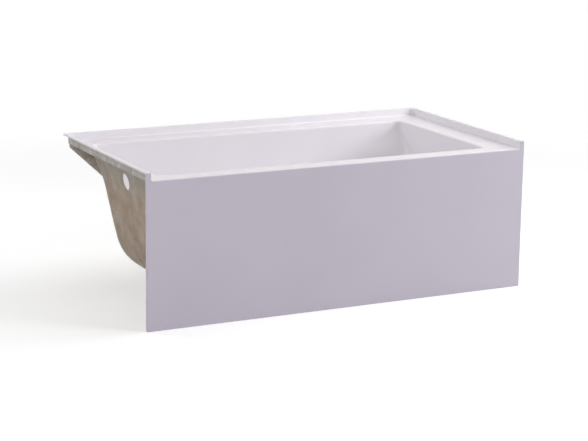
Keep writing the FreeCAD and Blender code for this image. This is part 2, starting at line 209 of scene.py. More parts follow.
# Each lamp's place, the point that it is aimed at, its side and its power in watts
lamps = {
    "lamp_above": ((0.0, 0.2, 3.4), (0, 0, 0.3), 3.0, 29),
    "lamp_above_right": ((2.4, 0.0, 2.8), (0.2, 0, 0.4), 2.0, 37),
    "lamp_front_right": ((3.4, -3.6, 2.4), (0.2, -0.2, 0.3), 2.2, 112),
    "lamp_front_left": ((-3.4, -3.8, 2.4), (-0.2, -0.2, 0.3), 2.2, 50),
    "lamp_back_left": ((-2.6, 2.6, 2.2), (-0.3, 0, 0.4), 1.8, 48),
    "lamp_right": ((4.2, -0.8, 1.7), (0.3, 0, 0.4), 2.0, 30),
    "lamp_low_left": ((-3.1, -1.4, 0.45), (-0.7, 0.2, 0.4), 1.2, 13),
}


# ---------------------------------------------------------------- sheets

bend_centre = deck_height - rim_radius
under_deck = deck_height - skin
web = flange_inset
fold_foot = flange_inset + fold_radius
ear_back = y_front + acrylic_sheet


class Wall:
    """One side of the basin: a bend over the rim, a sloping wall and a bend into the floor.

    Insets run in from the line where deck and wall would meet if they were sharp. 'out' is how
    far a face lies outside the bather's face."""

    def __init__(self, slope, foot):
        self.slope = math.radians(slope)
        self.foot = foot
        self.bend_inset = rim_radius * (math.tan(self.slope) - 1 / math.cos(self.slope))
        drop = deck_height - floor_top - foot
        self.foot_inset = drop * math.tan(self.slope) + foot / math.cos(self.slope)

    def inset(self, z, out):
        bend = rim_radius - out
        foot = self.foot + out
        foot_centre = floor_top + self.foot
        if z > bend_centre + bend * math.sin(self.slope):
            rise = min(1.0, (z - bend_centre) / bend)
            return self.bend_inset + bend * math.sqrt(1 - rise * rise)
        if z < foot_centre - foot * math.sin(self.slope):
            fall = min(1.0, (foot_centre - z) / foot)
            return self.foot_inset - foot * math.sqrt(1 - fall * fall)
        return (deck_height - z) * math.tan(self.slope) - out / math.cos(self.slope)


drain_wall = Wall(slope_drain, foot_drain)
head_wall = Wall(slope_head, foot_head)
front_wall = Wall(slope_front, foot_sides)
back_wall = Wall(slope_back, foot_sides)


def clamped(share):
    """A share kept from 0 to 1."""
    return min(1.0, max(0.0, share))


def ease(share):
    """A smooth step from 0 to 1."""
    share = clamped(share)
    return share * share * (3 - 2 * share)


def corner_radius(z, out, rim, shoulder, floor):
    """Plan radius of a basin corner: it opens out quickly down to the shoulder."""
    grown = 1 / math.cos(front_wall.slope)
    if z > bend_centre:
        return rim + rim_radius * grown - (front_wall.inset(z, out) - front_wall.bend_inset)
    depth = bend_centre - z
    above = shoulder_depth - rim_radius
    below = bend_centre - floor_top - above
    radius = rim + (shoulder - rim) * ease(depth / above)
    return radius + (floor - shoulder) * ease((depth - above) / below) + out * grown


def along(start, end, steps):
    """Evenly spaced values from start to end."""
    return [start + (end - start) * i / steps for i in range(steps + 1)]


def round_points(cx, cy, radius, start, end, steps):
    """Flat points round a centre from one angle to another, in degrees."""
    angles = [math.radians(turn) for turn in along(start, end, steps)]
    return [(cx + radius * math.cos(angle), cy + radius * math.sin(angle)) for angle in angles]


def rows_between(first, last, steps):
    """Rows of points evenly spaced from one row to another."""
    return [[p.lerp(q, share) for p, q in zip(first, last)] for share in along(0, 1, steps)]


def ring(x0, x1, y0, y1, radii):
    """A rounded rectangle's points from the left end of its front side, to the right and round.
    The radii are those of the front left, front right, back right and back left corners."""
    front_left, front_right, back_right, back_left = radii
    stretches = ((x0 + front_left, y0, x1 - front_right, y0, front_steps),
                 (x1, y0 + front_right, x1, y1 - back_right, side_steps),
                 (x1 - back_right, y1, x0 + back_left, y1, front_steps),
                 (x0, y1 - back_left, x0, y0 + front_left, side_steps))
    corners = ((x1 - front_right, y0 + front_right, front_right, 270),
               (x1 - back_right, y1 - back_right, back_right, 0),
               (x0 + back_left, y1 - back_left, back_left, 90),
               (x0 + front_left, y0 + front_left, front_left, 180))
    points = []
    for (xa, ya, xb, yb, steps), (cx, cy, radius, start) in zip(stretches, corners):
        points += [(xa + (xb - xa) * s, ya + (yb - ya) * s) for s in along(0, 1, steps)[:-1]]
        points += round_points(cx, cy, radius, start, start + 90, corner_steps)[:-1]
    return points


# The stretch of a ring that the flange stands on: right side, back and left side
flange_start = front_steps + corner_steps
flange_end = 2 * front_steps + 2 * side_steps + 3 * corner_steps


def basin_ring(z, out):
    """A ring round the basin's wall at a height."""
    left = corner_radius(z, out, corner_rim_drain, corner_shoulder_drain, corner_floor_drain)
    right = corner_radius(z, out, corner_rim_head, corner_shoulder_head, corner_floor_head)
    flat = ring(x_left + deck_left + drain_wall.inset(z, out),
                x_right - deck_right - head_wall.inset(z, out),
                y_front + deck_front + front_wall.inset(z, out),
                y_back - deck_back - back_wall.inset(z, out), (left, right, right, left))
    return [Vector((x, y, z)) for x, y in flat]


def flange_ring(inset, z, radius, front):
    """A ring over the flange, 'inset' in from the lip's edge."""
    flat = ring(x_left + inset, x_right - inset, front, y_back - inset, (0, 0, radius, radius))
    return [Vector((x, y, z)) for x, y in flat]


def basin_rings(out):
    """Rings down the basin: the rim's bend, the walls and the bend into the floor."""
    foot = head_wall.foot + out
    foot_centre = floor_top + head_wall.foot
    wall_end = foot_centre - foot * math.sin(head_wall.slope)
    levels = [bend_centre + (rim_radius - out) * math.sin(math.radians(angle))
              for angle in along(90, 0, bend_steps)]
    levels += along(bend_centre, wall_end, wall_steps)[1:]
    levels += [foot_centre - foot * math.sin(math.radians(angle))
               for angle in along(slope_head, 90, foot_steps)[1:]]
    return [basin_ring(z, out) for z in levels]


def floor_rings(last, out):
    """Rings over the flat of the floor, in to the waste hole's dish and down to its edge."""
    centre = Vector(mounts["waste_hole"]["pos_m"])
    hole = mounts["waste_hole"]["dims"]["r_mm"] / 1000
    dish = dish_profile + ((hole, dish_profile[-1][1]),)
    turns = [math.atan2(point.y - centre.y, point.x - centre.x) for point in last]

    def circle(radius, depth):
        return [Vector((centre.x + radius * math.cos(turn), centre.y + radius * math.sin(turn),
                        floor_top - out - depth)) for turn in turns]

    rings = rows_between(last, circle(*dish[0]), floor_steps)[1:]
    return rings + [circle(radius, depth) for radius, depth in dish[1:]]


def arc(centre_inset, centre_z, radius, start, end, steps):
    """Section points (inset, height) round a centre. 0 degrees is outwards, 90 is up."""
    return round_points(centre_inset, centre_z, radius, 180 - start, 180 - end, steps)


class Sheet:
    """A sheet with two faces, from grids of point pairs. Its edges are closed at the end."""

    def __init__(self):
        self.found = {}
        self.tops = []
        self.unders = []
        self.faces = []

    def place(self, top, under):
        key = tuple(round(v, 7) for v in (*top, *under))
        if key not in self.found:
            self.found[key] = len(self.tops)
            self.tops.append(top)
            self.unders.append(under)
        return self.found[key]

    def grid(self, tops, unders, closed=False):
        """Faces between neighbouring rows of points. A closed row's last point meets its first."""
        rows = [[self.place(a, b) for a, b in zip(top, under)] for top, under in zip(tops, unders)]
        for low, high in zip(rows, rows[1:]):
            for i in range(len(low) if closed else len(low) - 1):
                j = (i + 1) % len(low)
                face = list(dict.fromkeys((low[i], low[j], high[j], high[i])))
                if len(face) > 2:
                    self.faces.append(face)

    def basin_and_deck(self, near, far, deck_steps, deck_top, deck_under):
        """The basin with its floor, and the flat deck out to the ring that bounds it."""
        top, under = basin_rings(near), basin_rings(far)
        self.grid(top, under, closed=True)
        self.grid([top[-1]] + floor_rings(top[-1], near),
                  [under[-1]] + floor_rings(under[-1], far), closed=True)
        self.grid(rows_between(deck_top, top[0], deck_steps),
                  rows_between(deck_under, under[0], deck_steps), closed=True)

    def build(self, name):
        """The closed solid, as an object."""
        shift = len(self.tops)
        edges = set()
        for face in self.faces:
            edges.update(zip(face, face[1:] + face[:1]))
        faces = self.faces + [[index + shift for index in reversed(face)] for face in self.faces]
        faces += [[b, a, a + shift, b + shift] for a, b in sorted(edges) if (b, a) not in edges]
        return new_object(name, self.tops + self.unders, faces)


def new_object(name, points, faces, sharp=sharp_edge):
    """A mesh object with outward normals, smooth but for edges over the sharp angle."""
    made = bmesh.new()
    corners = [made.verts.new(point) for point in points]
    for face in faces:
        made.faces.new([corners[index] for index in face])
    bmesh.ops.remove_doubles(made, verts=made.verts, dist=hair)
    bmesh.ops.dissolve_degenerate(made, edges=made.edges, dist=hair / 10)
    bmesh.ops.recalc_face_normals(made, faces=made.faces)
    return from_bmesh(name, made, sharp)


def from_bmesh(name, made, sharp=sharp_edge):
    """An object out of a bmesh, which it frees."""
    mesh = bpy.data.meshes.new(name)
    made.to_mesh(mesh)
    made.free()
    thing = bpy.data.objects.new(name, mesh)
    bpy.context.scene.collection.objects.link(thing)
    smooth(mesh, sharp)
    return thing


def smooth(mesh, sharp=sharp_edge):
    """Smooth shading, but for edges over the sharp angle."""
    mesh.shade_smooth()
    mesh.set_sharp_from_angle(angle=math.radians(sharp))


def applied(thing):
    """Turn a thing's modifiers into its mesh."""
    seen = thing.evaluated_get(bpy.context.evaluated_depsgraph_get())
    mesh = bpy.data.meshes.new_from_object(seen)
    thing.modifiers.clear()
    thing.data = mesh


def cut(thing, tool):
    """Cut a tool from a thing, and remove the tool."""
    change = thing.modifiers.new("cut", "BOOLEAN")
    change.operation = "DIFFERENCE"
    change.solver = "MANIFOLD"
    change.object = tool
    applied(thing)
    bpy.data.objects.remove(tool)
    smooth(thing.data)


def cylinder(radius, depth, centre, axis=(0, 0, 1), sides=96):
    """A round bar about a centre, to cut with."""
    made = bmesh.new()
    turn = Vector(axis).to_track_quat("Z", "Y").to_matrix().to_4x4()
    bmesh.ops.create_cone(made, cap_ends=True, segments=sides, radius1=radius, radius2=radius,
                          depth=depth, matrix=Matrix.Translation(centre) @ turn)
    return from_bmesh("cutter", made)


def drill_wall_holes(thing):
    """The overflow hole and the flange's screw hole."""
    for name in ("overflow_hole", "flange_screw_hole"):
        hole = mounts[name]
        radius = hole["dims"]["r_mm"] / 1000
        cut(thing, cylinder(radius, wall_drill, Vector(hole["pos_m"]), hole["axis"]))


def flange_section(out, bend):
    """One face of the flange and its lip: (inset, height) from the fold to the bead's foot."""
    top = flange_top - out
    points = arc(fold_foot, deck_height + fold_radius, fold_radius + out, -90, 0, bend_steps)
    points += arc(web - out - bend, top - bend, bend, 180, 90, arc_steps)
    points.append((web / 2, top))
    points += arc(out + bend, top - bend, bend, 90, 0, arc_steps)
    points.append((out, flange_top - lip_bead_height))
    return points


def flange_rows(section, out, front):
    """The flange's part of a ring through each point of a section. Over the lip the corner's
    radius shrinks to the lip's own."""
    rows = []
    for inset, z in section:
        radius = flange_corner + web - inset
        if inset < web - out - hair:
            share = max(0.0, (inset - out) / (web - 2 * out))
            radius = lip_corner_radius + (flange_corner + out - lip_corner_radius) * share
        rows.append(flange_ring(inset, z, radius, front)[flange_start:flange_end + 1])
    return rows


def acrylic_shell():
    """The formed sheet: flange with its lip, deck with its rounded front edge, and basin."""
    sheet = Sheet()
    thick = acrylic_sheet
    front = y_front + apron_edge_radius
    foot_corner = flange_corner - fold_radius
    deck_top = flange_ring(fold_foot, deck_height, foot_corner, front)
    deck_under = flange_ring(fold_foot, deck_height - thick, foot_corner, front)
    sheet.basin_and_deck(0, thick, acrylic_deck_steps, deck_top, deck_under)

    tops = flange_rows(flange_section(0, lip_edge_radius), 0, ear_back)
    unders = flange_rows(flange_section(thick, lip_crease_radius), thick, ear_back)
    tops[0] = deck_top[flange_start:flange_end + 1]
    unders[0] = deck_under[flange_start:flange_end + 1]
    sheet.grid(tops[::-1], unders[::-1])

    edges = []
    for row, radius in ((deck_top, apron_edge_radius), (deck_under, apron_edge_radius - thick)):
        section = round_points(front, deck_height - apron_edge_radius, radius, 90,
                               90 + deck_edge_turn, arc_steps)
        edges.append([[Vector((point.x, y, z)) for point in row[:front_steps + 1]]
                      for y, z in reversed(section)])
    sheet.grid(*edges)
    shell = sheet.build("acrylic_shell")
    drill_wall_holes(shell)
    return shell


def lumps(point):
    """How far the hand-rolled resin stands out at a point, in metres."""
    return sum(high * noise.noise(point * scale + Vector(shift))
               for scale, high, shift in lump_layers)


def lump_share(z):
    """How much of the lumps the laminate has at a height."""
    over_board = clamped((z - (floor_top - skin + board_gap)) / board_fade)
    return over_board * clamped((flange_top - lip_gap - z) / lip_fade)


def roughen(vertices, share):
    """Move vertices in and out with the lumps, by a share for each height."""
    shifts = [vertex.normal * lumps(vertex.co) * share(vertex.co.z) for vertex in vertices]
    for vertex, shift in zip(vertices, shifts):
        vertex.co += shift


def fibreglass_skin():
    """The laminate on the outside of the shell, with its uneven outer face."""
    sheet = Sheet()
    near, far = acrylic_sheet, skin
    front = y_front + skin
    outer_foot = web - far + laminate_fold_radius
    deck_top = flange_ring(fold_foot, deck_height - near, flange_corner - fold_radius, front)
    deck_under = flange_ring(outer_foot, under_deck, flange_corner + web - outer_foot, front)
    sheet.basin_and_deck(near, far, laminate_deck_steps, deck_top, deck_under)
    inner = arc(fold_foot, deck_height + fold_radius, fold_radius + near, -90, 0, bend_steps)
    outer = arc(outer_foot, under_deck + laminate_fold_radius, laminate_fold_radius, -90, 0,
                bend_steps)
    for section in (inner, outer):
        inset, start = section[-1]
        section += [(inset, z) for z in along(start, flange_top - near, laminate_web_steps)[1:]]
    sheet.grid(flange_rows(inner, near, front)[::-1], flange_rows(outer, far, front)[::-1])
    skin_piece = sheet.build("fibreglass_skin")
    roughen(skin_piece.data.vertices[len(sheet.tops):], lump_share)
    drill_wall_holes(skin_piece)
    return skin_piece


def gusset(name):
    """A laminated web under a back corner of the deck, with soft edges. Its top lies a little way
    inside the laminate."""
    side, depth, foot = gusset_sizes[name]
    tip = web - skin
    y1 = y_back - tip - (flange_corner + skin) - gusset_before_corner
    reach = (depth - gusset_tip_height) / math.tan(math.radians(gusset_angle)) + foot
    turn = math.radians(90 - gusset_angle)
    cut_back = gusset_tip_radius * math.tan(turn / 2)
    centre = (tip + gusset_tip_radius, under_deck - gusset_tip_height + cut_back)
    outline = [(tip + gusset_bite, under_deck + laminate_fold_radius),
               (tip, under_deck + laminate_fold_radius - gusset_bite / 2)]
    outline += arc(*centre, gusset_tip_radius, 0, gusset_angle - 90, arc_steps)
    outline += [(tip + reach - foot, under_deck - depth), (tip + reach, under_deck - depth),
                (tip + reach, under_deck + gusset_bite)]
    end = x_left if side > 0 else x_right
    faces = [[Vector((end + side * inset, y, z)) for inset, z in outline]
             for y in (y1, y1 - gusset_thickness)]
    thing = wrap(name + "_web", faces)
    remesh = thing.modifiers.new("remesh", "REMESH")
    remesh.mode = "VOXEL"
    remesh.voxel_size = gusset_voxel
    soften = thing.modifiers.new("soften", "SMOOTH")
    soften.iterations = gusset_softening
    applied(thing)
    roughen(thing.data.vertices[:], lambda z: gusset_lumps)
    smooth(thing.data, 60.0)
    return thing


# ---------------------------------------------------------------- small pieces

def wrap(name, rows, looped=False, sharp=sharp_edge):
    """A closed object from rows of points, each row a closed ring. A looped one's last row meets
    its first, and otherwise the first and last rows are single points or closed by a face."""
    count = len(rows[0])
    points = [point for row in rows for point in row]
    faces = []
    for j in range(len(rows) if looped else len(rows) - 1):
        a, b = j * count, (j + 1) % len(rows) * count
        for i in range(count):
            k = (i + 1) % count
            faces.append([a + i, a + k, b + k, b + i])
    if not looped:
        faces.append(list(range(count))[::-1])
        faces.append([(len(rows) - 1) * count + i for i in range(count)])
    return new_object(name, points, faces, sharp)


def turned(foot, profile, sides, form=None):
    """Rows of points round an upright axis. 'form' shapes each (angle, radius, height)."""
    rows = []
    for radius, height in profile:
        row = []
        for i in range(sides):
            angle = 2 * math.pi * i / sides
            r, h = form(angle, radius, height) if form else (radius, height)
            row.append(foot + Vector((r * math.cos(angle), r * math.sin(angle), h)))
        rows.append(row)
    return rows


def joined(name, things):
    """Several objects made into one."""
    made = bmesh.new()
    for thing in things:
        made.from_mesh(thing.data)
        bpy.data.objects.remove(thing)
    return from_bmesh(name, made)


def solids(node):
    """The lowest and highest corners of each separate solid in a CAD node."""
    made = bmesh.new()
    made.from_mesh(frame["nodes"][node].data)
    bmesh.ops.remove_doubles(made, verts=made.verts, dist=hair)
    left = set(made.verts)
    boxes = []
    while left:
        group = [left.pop()]
        for vertex in group:
            for edge in vertex.link_edges:
                other = edge.other_vert(vertex)
                if other in left:
                    left.remove(other)
                    group.append(other)
        places = [vertex.co for vertex in group]
        boxes.append((Vector(map(min, zip(*places))), Vector(map(max, zip(*places)))))
    made.free()
    boxes.sort(key=lambda corners: tuple(round(v, 4) for v in corners[0]))
    return boxes


def eased_block(name, low, high, radius, segments=3):
    """A block with rounded edges, between two corners."""
    made = bmesh.new()
    bmesh.ops.create_cube(made, size=1.0)
    for vertex in made.verts:
        vertex.co = Vector([low[i] if vertex.co[i] < 0 else high[i] for i in range(3)])
    bmesh.ops.bevel(made, geom=made.edges, offset=radius, segments=segments, profile=0.5,
                    affect="EDGES")
    return from_bmesh(name, made, 50.0)


def stem(name, node):
    """A threaded stem with a chamfered, slotted end, and the spigot that its pad turns on."""
    low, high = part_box(node)
    middle = (low + high) / 2
    major = (high.x - low.x) / 2
    root = major - thread_depth
    shoulder = low.z + spigot_length
    top = high.z - stem_chamfer
    steps = round((top - shoulder) / thread_pitch * thread_rows)
    profile = [(0, low.z), (spigot_radius, low.z), (spigot_radius, shoulder), (root, shoulder)]
    profile += [(major, z) for z in along(shoulder, top, steps)]
    profile += [(root, high.z), (0, high.z)]

    def thread(angle, radius, height):
        phase = (height / thread_pitch - angle / (2 * math.pi)) % 1
        crest = min(1.0, thread_crest * abs(2 * phase - 1))
        return min(radius, root + thread_depth * crest), height

    rows = turned(Vector((middle.x, middle.y, 0)), profile, stem_sides, thread)
    piece = wrap(name, rows, sharp=50.0)
    end = Vector((middle.x, middle.y, high.z))
    half = Vector((slot_width / 2, 2 * major, slot_depth))
    cut(piece, eased_block("cutter", end - half, end + half, slot_edge, 1))
    return piece


def pad(name, node):
    """A moulded pad: a round foot, a hub and ribs between the two."""
    low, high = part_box(node)
    middle = (low + high) / 2
    rim = (high.x - low.x) / 2
    rib_end = rim - pad_rib_inset
    edge = pad_edge
    middle_in = edge * edge_middle
    plate = low.z + pad_plate
    socket = spigot_radius + pad_socket_gap
    socket_floor = high.z - pad_socket_depth
    profile = [(0, low.z), (rim - edge, low.z), (rim - middle_in, low.z + middle_in),
               (rim, low.z + edge), (rim, plate - edge), (rim - middle_in, plate - middle_in),
               (rim - edge, plate)]
    profile += [(radius, plate)
                for radius in along(rim - pad_plain_rim, pad_hub_radius + pad_hub_fillet, pad_steps)]
    profile += [(pad_hub_radius, plate + pad_hub_fillet), (pad_hub_radius, high.z - edge),
                (pad_hub_radius - middle_in, high.z - middle_in), (pad_hub_radius - edge, high.z),
                (socket, high.z), (socket, socket_floor), (0, socket_floor)]

    def ribs(angle, radius, height):
        if abs(height - plate) > hair or radius > rib_end:
            return radius, height
        share = (rib_end - radius) / (rib_end - pad_hub_radius)
        off = abs((angle * pad_ribs / (2 * math.pi) + 0.5) % 1 - 0.5) * 2 * math.pi / pad_ribs
        across = ease((pad_rib_half - off * radius) / pad_rib_flank)
        return radius, height + across * share * pad_rib_height

    rows = turned(Vector((middle.x, middle.y, 0)), profile, pad_sides, ribs)
    return wrap(name, rows, sharp=40.0)


def nut(low, high):
    """A hexagon nut with a round bore and chamfered corners."""
    middle = (low + high) / 2
    height = high.z - low.z
    flat = (high.x - low.x) / 2
    start = flat * nut_chamfer_start

    def hexagon(angle, radius, z):
        if radius <= start:
            return radius, z
        turn = (angle + math.pi / 6) % (math.pi / 3) - math.pi / 6
        out = flat / math.cos(turn)
        fall = (out - start) * math.tan(nut_chamfer_angle)
        return out, z - fall if z > height / 2 else z + fall

    mouth = nut_bore + nut_bore_chamfer
    profile = [(mouth, 0), (nut_bore, nut_bore_chamfer), (nut_bore, height - nut_bore_chamfer),
               (mouth, height), (start, height), (flat, height), (flat, 0), (start, 0)]
    rows = turned(Vector((middle.x, middle.y, low.z)), profile, nut_sides, hexagon)
    return wrap("nut", rows, looped=True, sharp=25.0)


def screws(name, node, heads_low):
    """Screws with a domed, cross-recessed head. The heads are at the low or the high ends."""
    things = []
    for low, high in solids(node):
        size = high - low
        axis = max(range(3), key=lambda i: size[i])
        head = min(size) / 2
        start = (low + high) / 2
        direction = Vector()
        start[axis], direction[axis] = (low[axis], 1) if heads_low else (high[axis], -1)
        shank = head / 2
        length = size[axis]
        dome = head * screw_dome
        profile = [(head * across, dome * down) for across, down in head_outline]
        profile += [(shank, profile[-1][1]), (shank, length - shank), (shank * screw_tip, length),
                    (0, length)]
        turn = direction.to_track_quat("Z", "Y").to_matrix().to_4x4()
        place = Matrix.Translation(start) @ turn
        thing = wrap("screw", turned(Vector(), profile, screw_sides))
        for arm in ((cross_arm, cross_half), (cross_half, cross_arm)):
            corner = Vector((head * arm[0], head * arm[1], dome * cross_depth))
            cut(thing, eased_block("cutter", -corner, corner, head * cross_edge, 1))
        thing.data.transform(place)
        things.append(thing)
    return joined(name, things)


def rail(name, node):
    """A square tube with rounded corners."""
    low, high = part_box(node)
    sections = []
    for inset, radius in ((0, rail_corner), (rail_wall, rail_corner - rail_wall)):
        flat = []
        cx = (low.x + inset + radius, high.x - inset - radius)
        cz = (low.z + inset + radius, high.z - inset - radius)
        for x, z, start in ((cx[1], cz[0], 270), (cx[1], cz[1], 0), (cx[0], cz[1], 90),
                            (cx[0], cz[0], 180)):
            flat += round_points(x, z, radius, start, start + 90, arc_steps)
        sections.append(flat)
    rows = []
    for flat, y in ((sections[0], low.y), (sections[0], high.y), (sections[1], high.y),
                    (sections[1], low.y)):
        rows.append([Vector((x, y, z)) for x, z in flat])
    piece = wrap(name, rows, looped=True, sharp=30.0)
    middle = (low + high) / 2
    for foot in feet:
        place = sum(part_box("foot_stem_" + foot), Vector()) / 2
        if abs(place.x - middle.x) < rail_wall:
            centre = Vector((place.x, place.y, middle.z))
            cut(piece, cylinder(nut_bore + rail_hole_gap, rail_drill, centre, sides=nut_sides))
    return piece


def end_cap(low, high):
    """A plastic cap with eased edges, and its plug inside the tube."""
    end, mouth, inwards = (low.y, high.y, 1) if low.y < 0 else (high.y, low.y, -1)
    seat = end + inwards * cap_flange
    face = sorted((seat, end))
    plug = sorted((seat - inwards * cap_edge, mouth))
    bore = rail_wall + cap_edge
    flange = eased_block("cap", Vector((low.x, face[0], low.z)), Vector((high.x, face[1], high.z)),
                         cap_edge)
    inner = eased_block("plug", Vector((low.x + bore, plug[0], low.z + bore)),
                        Vector((high.x - bore, plug[1], high.z - bore)), cap_edge)
    return joined("cap", [flange, inner])


def bracket(low, high):
    """An angle bracket bent from sheet, its legs along +x and +y from its corner."""
    bend = bracket_bend

    def face(inset):
        bent = round_points(low.x + bend, low.y + bend, bend - inset, 270, 180, arc_steps)
        return [(high.x, low.y + inset), *bent, (low.x + inset, high.y)]

    loop = face(0) + face(bracket_sheet)[::-1]
    rows = [[Vector((x, y, z)) for x, y in loop] for z in (low.z, high.z)]
    return wrap("bracket", rows, sharp=30.0)


# ---------------------------------------------------------------- node helpers

def new_node(tree, kind, inputs, **settings):
    """A shader node with its inputs linked, or set to a number, a vector or a colour."""
    node = tree.nodes.new("ShaderNode" + kind)
    for name, value in settings.items():
        setattr(node, name, value)
    for key, value in inputs.items():
        socket = node.inputs[key]
        if isinstance(value, bpy.types.NodeSocket):
            tree.links.new(value, socket)
        else:
            socket.default_value = (*value, 1.0) if socket.type == "RGBA" else value
    return node


def mixed(tree, share, first, second):
    """Two shaders mixed by a share."""
    return new_node(tree, "MixShader", {0: share, 1: first.outputs[0], 2: second.outputs[0]})


class Surface:
    """A node material with one Principled shader and object coordinates."""

    def __init__(self, name, roughness, metallic=0.0, specular=0.5):
        self.material = bpy.data.materials.new(name)
        self.material.use_nodes = True
        self.tree = self.material.node_tree
        self.shader = self.tree.nodes["Principled BSDF"]
        self.shader.inputs["Roughness"].default_value = roughness
        self.shader.inputs["Metallic"].default_value = metallic
        self.shader.inputs["Specular IOR Level"].default_value = specular
        self.coordinates = self.node("TexCoord", {}).outputs["Object"]

    def node(self, kind, inputs, **settings):
        return new_node(self.tree, kind, inputs, **settings)

    def link(self, source, target):
        self.tree.links.new(source, target)

    def stretched(self, scale, rotation=(0, 0, 0), shift=(0, 0, 0)):
        """Coordinates shifted, turned and scaled along each axis."""
        return self.node("Mapping", {"Vector": self.coordinates, "Location": shift, "Scale": scale,
                                     "Rotation": [math.radians(a) for a in rotation]}).outputs["Vector"]

    def noise(self, scale, detail=3.0, rough=0.5, distortion=0.0, where=None):
        """A noise pattern's value, from 0 to 1."""
        return self.node("TexNoise", {"Vector": where or self.coordinates, "Scale": scale,
                                      "Detail": detail, "Roughness": rough,
                                      "Distortion": distortion}).outputs["Fac"]

    def cells(self, scale, where=None):
        """A random grey for each of many small cells."""
        cell = self.node("TexVoronoi", {"Vector": where or self.coordinates, "Scale": scale})
        return self.node("SeparateColor", {"Color": cell.outputs["Color"]}).outputs["Red"]

    def rings(self, direction, scale, distortion, where):
        """Growth rings round an axis."""
        return self.node("TexWave", {"Vector": where, "Scale": scale, "Distortion": distortion,
                                     "Detail": 2.0, "Detail Scale": 0.6},
                         wave_type="RINGS", rings_direction=direction).outputs["Fac"]

    def height(self):
        """How high a point is, in metres."""
        return self.node("SeparateXYZ", {"Vector": self.coordinates}).outputs["Z"]

    def between(self, value, low, high):
        """0 at the low value, 1 at the high one, smooth in between."""
        return self.node("MapRange", {"Value": value, "From Min": low, "From Max": high},
                         interpolation_type="SMOOTHSTEP").outputs["Result"]

    def ramp(self, value, stops):
        """Colours written as 0 to 255 sRGB, or greys as one linear number, along a value."""
        node = self.node("ValToRGB", {"Fac": value})
        elements = node.color_ramp.elements
        while len(elements) < len(stops):
            elements.new(0.5)
        for element, (place, colour) in zip(elements, stops):
            element.position = place
            element.color = (*(srgb(*colour) if isinstance(colour, tuple) else (colour,) * 3), 1.0)
        return node.outputs["Color"]

    def mix(self, share, first, second, blend="MIX"):
        """Two colours mixed by a share, which is a number or a value. 0, 6 and 7 are the sockets
        of a colour mix."""
        return self.node("Mix", {0: share, 6: first, 7: second}, data_type="RGBA",
                         blend_type=blend).outputs[2]

    def colour(self, source):
        self.link(source, self.shader.inputs["Base Color"])

    def roughness(self, source):
        self.link(source, self.shader.inputs["Roughness"])

    def bump(self, height, strength, distance, below=None):
        """A bump over the shader's normal, in metres, laid over an earlier one if given."""
        inputs = {"Height": height, "Strength": strength, "Distance": distance}
        if below is not None:
            inputs["Normal"] = below
        normal = self.node("Bump", inputs).outputs["Normal"]
        self.link(normal, self.shader.inputs["Normal"])
        return normal


def srgb(red, green, blue):
    """A colour written as 0 to 255 sRGB, as linear light."""
    linear = []
    for value in (red, green, blue):
        share = value / 255
        linear.append(share / 12.92 if share <= 0.04045 else ((share + 0.055) / 1.055) ** 2.4)
    return tuple(linear)


# ---------------------------------------------------------------- materials

def acrylic(name, dark, light):
    """Polished white sanitary acrylic with a faint cool tint."""
    surface = Surface(name, 0.2, specular=0.22)
    cloud = surface.noise(2.2, 3.0)
    surface.colour(surface.ramp(cloud, [(0.3, dark), (0.7, light)]))
    surface.roughness(surface.ramp(surface.noise(9.0, 4.0), [(0.3, 0.17), (0.7, 0.25)]))
    wave = surface.bump(surface.noise(6.0, 1.0), 0.12, 0.002)
    surface.bump(surface.noise(260.0, 2.0), 0.03, 0.0005, wave)
    return surface.material


def fibreglass(name, painted_lit_web=False):
    """Brown-grey resin over chopped glass strands, paler where it is thin: on the flange. The corner
    webs get a much paler copy of it, painted light that makes them look lit."""
    surface = Surface(name, 0.5)
    cloud = surface.noise(7.0, 5.0, 0.6, 0.4)
    resin = surface.ramp(cloud, [(0.3, (148, 122, 98)), (0.5, (162, 139, 115)),
                                 (0.7, (173, 155, 134))])
    smear = surface.noise(26.0, 4.0, 0.65, 0.8)
    pale = surface.ramp(smear, [(0.35, (158, 151, 143)), (0.65, (194, 189, 183))])
    upper = surface.ramp(cloud, [(0.3, (144, 133, 118)), (0.7, (168, 160, 144))])
    height = surface.height()
    colour = surface.mix(surface.between(height, 0.36, 0.5), resin, upper)
    colour = surface.mix(surface.between(height, 0.515, 0.535), colour, pale)
    # Painted light: the corner webs get a much paler copy of the laminate, a lit copy for webs that
    # stand partly in the flange's shadow
    if painted_lit_web:
        colour = surface.ramp(smear, [(0.35, (188, 180, 170)), (0.65, (214, 208, 199))])
    strands = None
    for turn in ((0, 22, 8), (48, 5, 67), (12, 81, 33), (75, 40, 110)):
        fibre = surface.noise(1.0, 2.0, 0.5, 0.2, surface.stretched((34.0, 620.0, 620.0), turn))
        fibre = surface.between(fibre, 0.56, 0.68)
        strands = fibre if strands is None else surface.mix(1.0, strands, fibre, "LIGHTEN")
    faint = surface.mix(surface.between(surface.noise(16.0, 2.0), 0.35, 0.7), (0.0, 0.0, 0.0), strands)
    colour = surface.mix(faint, colour, surface.mix(1.0, colour, (0.2, 0.19, 0.18), "ADD"))
    streaks = surface.noise(1.0, 3.0, 0.6, 0.5, surface.stretched((18.0, 160.0, 90.0), (0, 35, 20)))
    dark = surface.mix(1.0, colour, (0.62, 0.6, 0.58), "MULTIPLY")
    surface.colour(surface.mix(surface.between(streaks, 0.56, 0.8), colour, dark))
    surface.roughness(surface.ramp(surface.noise(30.0, 3.0), [(0.3, 0.36), (0.7, 0.6)]))
    lumpy = surface.bump(surface.noise(90.0, 5.0, 0.65), 0.4, 0.002)
    surface.bump(strands, 0.25, 0.0006, lumpy)
    return surface.material


